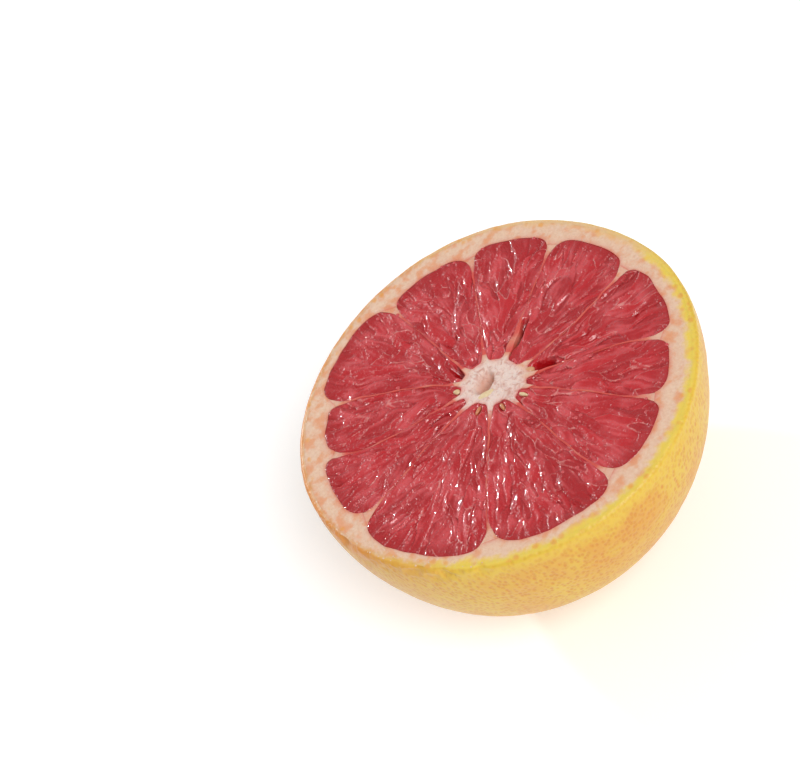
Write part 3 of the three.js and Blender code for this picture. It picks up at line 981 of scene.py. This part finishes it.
def bend_pith():
    columns = pith_columns()
    bm = bmesh.new()
    bmesh.ops.create_grid(bm, x_segments=len(columns), y_segments=ROWS, size=1.0)
    square = places_of(bm)
    column = np.rint((square[:, 0] + 1) / 2 * len(columns)).astype(int) % len(columns)
    row = np.rint((square[:, 1] + 1) / 2 * ROWS).astype(int)
    x, y = pith_lines[column, row].T
    across = np.array([c[1] for c in columns])[column]
    r = np.hypot(x, y)
    between = (row > CORE_ROWS) & (row < POCKET_END)
    inside = (np.abs(across) < 0.9999) & between
    on_wall = (np.abs(across) >= 0.9999) & between

    deep_share = 1 - np.clip(r / (widest_radius - FLESH_INSET), 0, 1) ** ROUNDNESS
    floor = widest_z - (POLE_BELOW_WIDEST - FLESH_INSET_AT_POLE) * deep_share ** (1 / ROUNDNESS)
    sag = np.clip(WALL_SAG * (1 + 1.2 * smooth_noise(x, y, 0, 5.0, 13)), 0, 0.9)
    sag = sag * on_wall * soft_step(r, 9, 13) * (1 - soft_step(r, 41, 45))
    sponge = 0.22 * np.abs(smooth_noise(x, y, 0, 1.3, 26)) * (1 - soft_step(r, 6, 9))
    top = CUT_Z - knife_marks(x, y) - sag - sponge
    split = split_share(x, y) * (row < CORE_ROWS)
    z = np.where(inside, np.minimum(floor, CUT_Z - 3.5), top - SPLIT_DEPTH * split)
    move_to(bm, np.stack([x, y, z], 1))

    streak = 0.5 + 0.5 * smooth_noise(x, y, 0, 3.0, 15)
    beside = 0.45 * np.exp(-np.clip(row - POCKET_END, 0, None) / 1.8)
    core_side = 0.45 * np.exp(-np.clip(CORE_ROWS - row, 0, None) / 2.5)
    thin = 0.7 + 0.25 * soft_step(smooth_noise(x, y, 0, 4.0, 33), -0.5, 0.5)
    from_blade = np.abs(np.arctan2(y, x) - wall_angle(BLADE_WALL, np.clip(r, 5, None))) * r
    thin = np.where((from_blade < 2) & (r < 23), 0.78, thin)
    thin = thin * soft_step(r, 6.5, 10) * (1 - 0.8 * soft_step(r, 37, 43))
    pink = np.where(on_wall, thin, np.where(row <= CORE_ROWS, core_side, beside)) * (0.6 + 0.6 * streak)
    values = {
        "juice": np.where(inside, 1.0, np.clip(pink, 0, 0.78)),
        "depth": np.clip(layer_radius(CUT_Z, 0) - r, 0, 20),
        "blush": blush_of(x, y),
        "pale": pale_of(x, y),
        "heart": 1 - soft_step(r + 1.2 * smooth_noise(x, y, 0, 2.0, 27), 7.0, 11.0),
        # Painted shade for the core's split, strongest where it is deepest
        "hollow": split * (0.75 + 0.25 * streak),
    }
    return bm, values


pith_bm, pith_values = bend_pith()
print("pith sheet:", len(pith_bm.faces), "faces")

# %% [markdown]
# ## Pith: close the bowl
#
# The grid's first and last columns lie on each other, and its whole first row meets in the core. Merging the
# doubles sews both. The values for the material have to survive that, so they are stored on the vertices
# first. Last, the rim is extruded along the inside of the zest and closed at the pole.

# %% Sew and close the pith
BOWL_STEPS = 14


def close_bowl(bm):
    """Extrudes the rim of the disc down and in along the inside of the zest, and closes it at the pole."""
    ring = [e for e in bm.edges if e.is_boundary]
    bottom = widest_z - POLE_BELOW_WIDEST + ZEST_THICKNESS
    for i in range(1, BOWL_STEPS + 1):
        z = bottom + 0.02 + (CUT_Z - 1 - bottom) * (1 - math.sin(math.pi / 2 * i / BOWL_STEPS))
        wide = max(layer_radius(z, ZEST_THICKNESS), 0.5)
        ring, fresh = extrude_ring(bm, ring)
        for vert in fresh:
            pull = wide / math.hypot(vert.co.x, vert.co.y)
            vert.co = (vert.co.x * pull, vert.co.y * pull, z)
    bmesh.ops.contextual_create(bm, geom=ring)


for name, numbers in pith_values.items():
    layer = pith_bm.verts.layers.float.new(name)
    for vert, number in zip(pith_bm.verts, numbers):
        vert[layer] = number
bmesh.ops.remove_doubles(pith_bm, verts=pith_bm.verts, dist=0.0005)
close_bowl(pith_bm)
pith = finish_piece("pith_bowl", pith_bm, pith_finish, ["pith"], crisp=True)
print("pith:", len(pith.data.polygons), "faces")

# %% [markdown]
# ## Seeds
#
# A seedless fruit still has traces of seeds, small cream grains at the inner tips of some segments, and one
# flat scale that lies on the core. Each is a sphere, squeezed, tapered and roughened a little. The grains
# shrank while they dried, each to a size of its own, and the attribute "tan" says how far each turned tan.

# %% The seeds
SEED_SIZES = ((0.9, 0.7, 0.6), (1.3, 0.45, 0.5), (1.2, 0.5, 0.5), (1.25, 0.5, 0.5), (1.55, 1.25, 1.0))
SEED_TANS = (0.15, 0.9, 0.8, 0.0, 0.6)
SEED_SINK = 0.15
SCALE_PLACE = (-2.0, -0.9)
SCALE_SIZE = (2.4, 1.0, 0.35)
SCALE_SINK = 0.36


def seed_surface(add, place, tan):
    grain = add("TexNoise", {"Vector": place, "Scale": 1000 / 0.7, "Detail": 3.0})
    cream = add("Mix", {0: grain, MIX_A: "#cdaa74", MIX_B: "#efdfba"}, **COLOUR)
    coat = add("Mix", {0: tan, MIX_A: cream, MIX_B: "#c06a3c"}, **COLOUR)
    relief = add("Bump", {"Height": grain, "Distance": 0.00015})
    return {
        "Base Color": coat, "Roughness": 0.45, "IOR": 1.45, "Coat Weight": 0.4,
        "Coat Roughness": 0.15, "Normal": relief,
    }


def seed_shape(size, outward, middle, number):
    """A rough, tapered grain in mm, with its long side turned outward."""
    bm = bmesh.new()
    bmesh.ops.create_icosphere(bm, subdivisions=4, radius=1.0)
    grain = places_of(bm)
    lumps = 1 + 0.12 * smooth_noise(*(grain + number * 3).T, 0.9, 16)
    taper = 1 - 0.3 * grain[:, 0]
    grain = grain * lumps[:, None] * size
    grain[:, 1] *= taper
    turned = Matrix.Rotation(outward, 3, "Z")
    move_to(bm, grain @ np.array(turned).T + middle)
    return bm


seed_finish = make_material("seed coat, satin", seed_surface, ("tan",))
for number, (size, tan) in enumerate(zip(SEED_SIZES, SEED_TANS), 1):
    low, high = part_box(f"seed_{number}")
    middle = np.array((low + high) / 2) / MM
    middle[2] = high.z / MM - size[2] - SEED_SINK
    outward = math.atan2(middle[1], middle[0] - LEAN)
    grain = seed_shape(size, outward, middle, number)
    tans = {"tan": np.full(len(grain.verts), tan)}
    finish_piece(f"seed_{number}_grain", grain, seed_finish, [f"seed_{number}"], tans, form=False)
scale = seed_shape(SCALE_SIZE, 0.0, (*SCALE_PLACE, CUT_Z - SCALE_SINK), 9)
finish_piece("seed_scale", scale, seed_finish, values={"tan": np.zeros(len(scale.verts))})
print("seeds: 5 grains and a scale")

# %% [markdown]
# ## Juice
#
# Beads of juice stand on the freshly cut pulp, and a few more on the torn rim. A bead is a flattened sphere
# that sits half in the surface. It takes the colour of the flesh or the pith under it, so only its small
# white glint shows. With a few dozen faces each we can afford hundreds.

# %% Beads of juice
BEADS_ON_PULP = 260
BEADS_ON_RIM = 40
BEAD_SEED = 5
BEAD_FLATNESS = 0.3
BEAD_RADII = (0.25, 0.6)
RIM_ARC = (185, 238)
RIM_REACH = (48.6, 51.0)
RIM_BEAD_RADII = (0.14, 0.3)
RIM_BEAD_SINK = 0.18
WET = {"Roughness": 0.3, "IOR": 1.38, "Coat Weight": 1.0, "Coat Roughness": 0.04, "Coat IOR": 1.8}


def juice_material(name, colour):
    return make_material(name, lambda add, place: {"Base Color": colour, **WET})


def pulp_beads():
    """Place and radius in mm of every bead on the pulp."""
    rng = np.random.default_rng(BEAD_SEED)
    tops = np.concatenate(wedge_tops)
    # The grid is denser near the core, so each vertex counts by its distance from it
    wet = soft_step(smooth_noise(tops[:, 0], tops[:, 1], 0, 6.0, 28), -0.2, 0.6) + 0.15
    chance = wet * np.hypot(tops[:, 0], tops[:, 1])
    picked = rng.choice(len(tops), BEADS_ON_PULP, replace=False, p=chance / chance.sum())
    return [(*tops[i], rng.uniform(*BEAD_RADII)) for i in picked]


def rim_beads():
    """Place and radius in mm of every bead on the torn stretch of the rim."""
    rng = np.random.default_rng(BEAD_SEED)
    beads = []
    for _ in range(BEADS_ON_RIM):
        angle, r = math.radians(rng.uniform(*RIM_ARC)), rng.uniform(*RIM_REACH)
        place = r * math.cos(angle), r * math.sin(angle), CUT_Z - RIM_BEAD_SINK
        beads.append((*place, rng.uniform(*RIM_BEAD_RADII)))
    return beads


def drop_beads(name, beads, material):
    bm = bmesh.new()
    for x, y, z, radius in beads:
        high = min(z, CUT_Z - BEAD_FLATNESS * radius)
        shape = Matrix.Translation((x, y, high)) @ Matrix.Diagonal((1.0, 1.0, BEAD_FLATNESS, 1.0))
        bmesh.ops.create_uvsphere(bm, u_segments=10, v_segments=6, radius=radius, matrix=shape)
    finish_piece(name, bm, material)


drop_beads("juice_beads", pulp_beads(), juice_material("citrus juice, on flesh", "#c83e42"))
drop_beads("rim_beads", rim_beads(), juice_material("citrus juice, on pith", "#e4bd98"))
print("juice:", BEADS_ON_PULP + BEADS_ON_RIM, "beads")

# %% [markdown]
# ## Light and floor
#
# The photograph is a bright studio shot on white. Wet flesh keeps its deep red only if nothing white mirrors
# in it, so the large soft light stands above the camera, away from where the cut face mirrors. A small lamp
# low behind the fruit grazes the wet pulp, and its mirror images are the small white glints. The floor is
# plain pale paper, with a faint light behind it that keeps it white in the shade.

# %% Light and floor
def soft_light(name, place, size, power, aim=(0.0, 0.0, 0.03)):
    light = bpy.data.lights.new(name, "AREA")
    light.shape = "DISK"
    light.size = size
    light.energy = power
    lamp = bpy.data.objects.new(name, light)
    lamp.location = place
    lamp.rotation_euler = (Vector(place) - Vector(aim)).to_track_quat("Z", "Y").to_euler()
    scene.collection.objects.link(lamp)


soft_light("front", (0.8, -2.08, 2.4), 1.9, 73.0)
soft_light("key", (-0.8, 1.75, 0.75), 0.16, 17.0)

world = bpy.data.worlds.new("studio")
world.use_nodes = True
world.node_tree.nodes["Background"].inputs["Color"].default_value = (1.0, 1.0, 1.0, 1.0)
world.node_tree.nodes["Background"].inputs["Strength"].default_value = 0.46
scene.world = world
scene.view_settings.view_transform = "Standard"


def paper_surface(add, place):
    tooth = add("TexNoise", {"Vector": place, "Scale": 900.0, "Detail": 2.0})
    relief = add("Bump", {"Height": tooth, "Distance": 0.00002})
    return {
        "Base Color": "#fdfdfd", "Roughness": 0.9, "Emission Color": "#ffffff",
        "Emission Strength": 0.15, "Normal": relief,
    }


FLOOR_SIZE = 6.0
floor_bm = bmesh.new()
bmesh.ops.create_grid(floor_bm, x_segments=1, y_segments=1, size=FLOOR_SIZE / 2)
floor_mesh = bpy.data.meshes.new("floor")
floor_bm.to_mesh(floor_mesh)
floor_bm.free()
floor_mesh.materials.append(make_material("studio paper, matt", paper_surface))
floor = bpy.data.objects.new("floor", floor_mesh)
scene.collection.objects.link(floor)
print("floor", FLOOR_SIZE, "m wide")
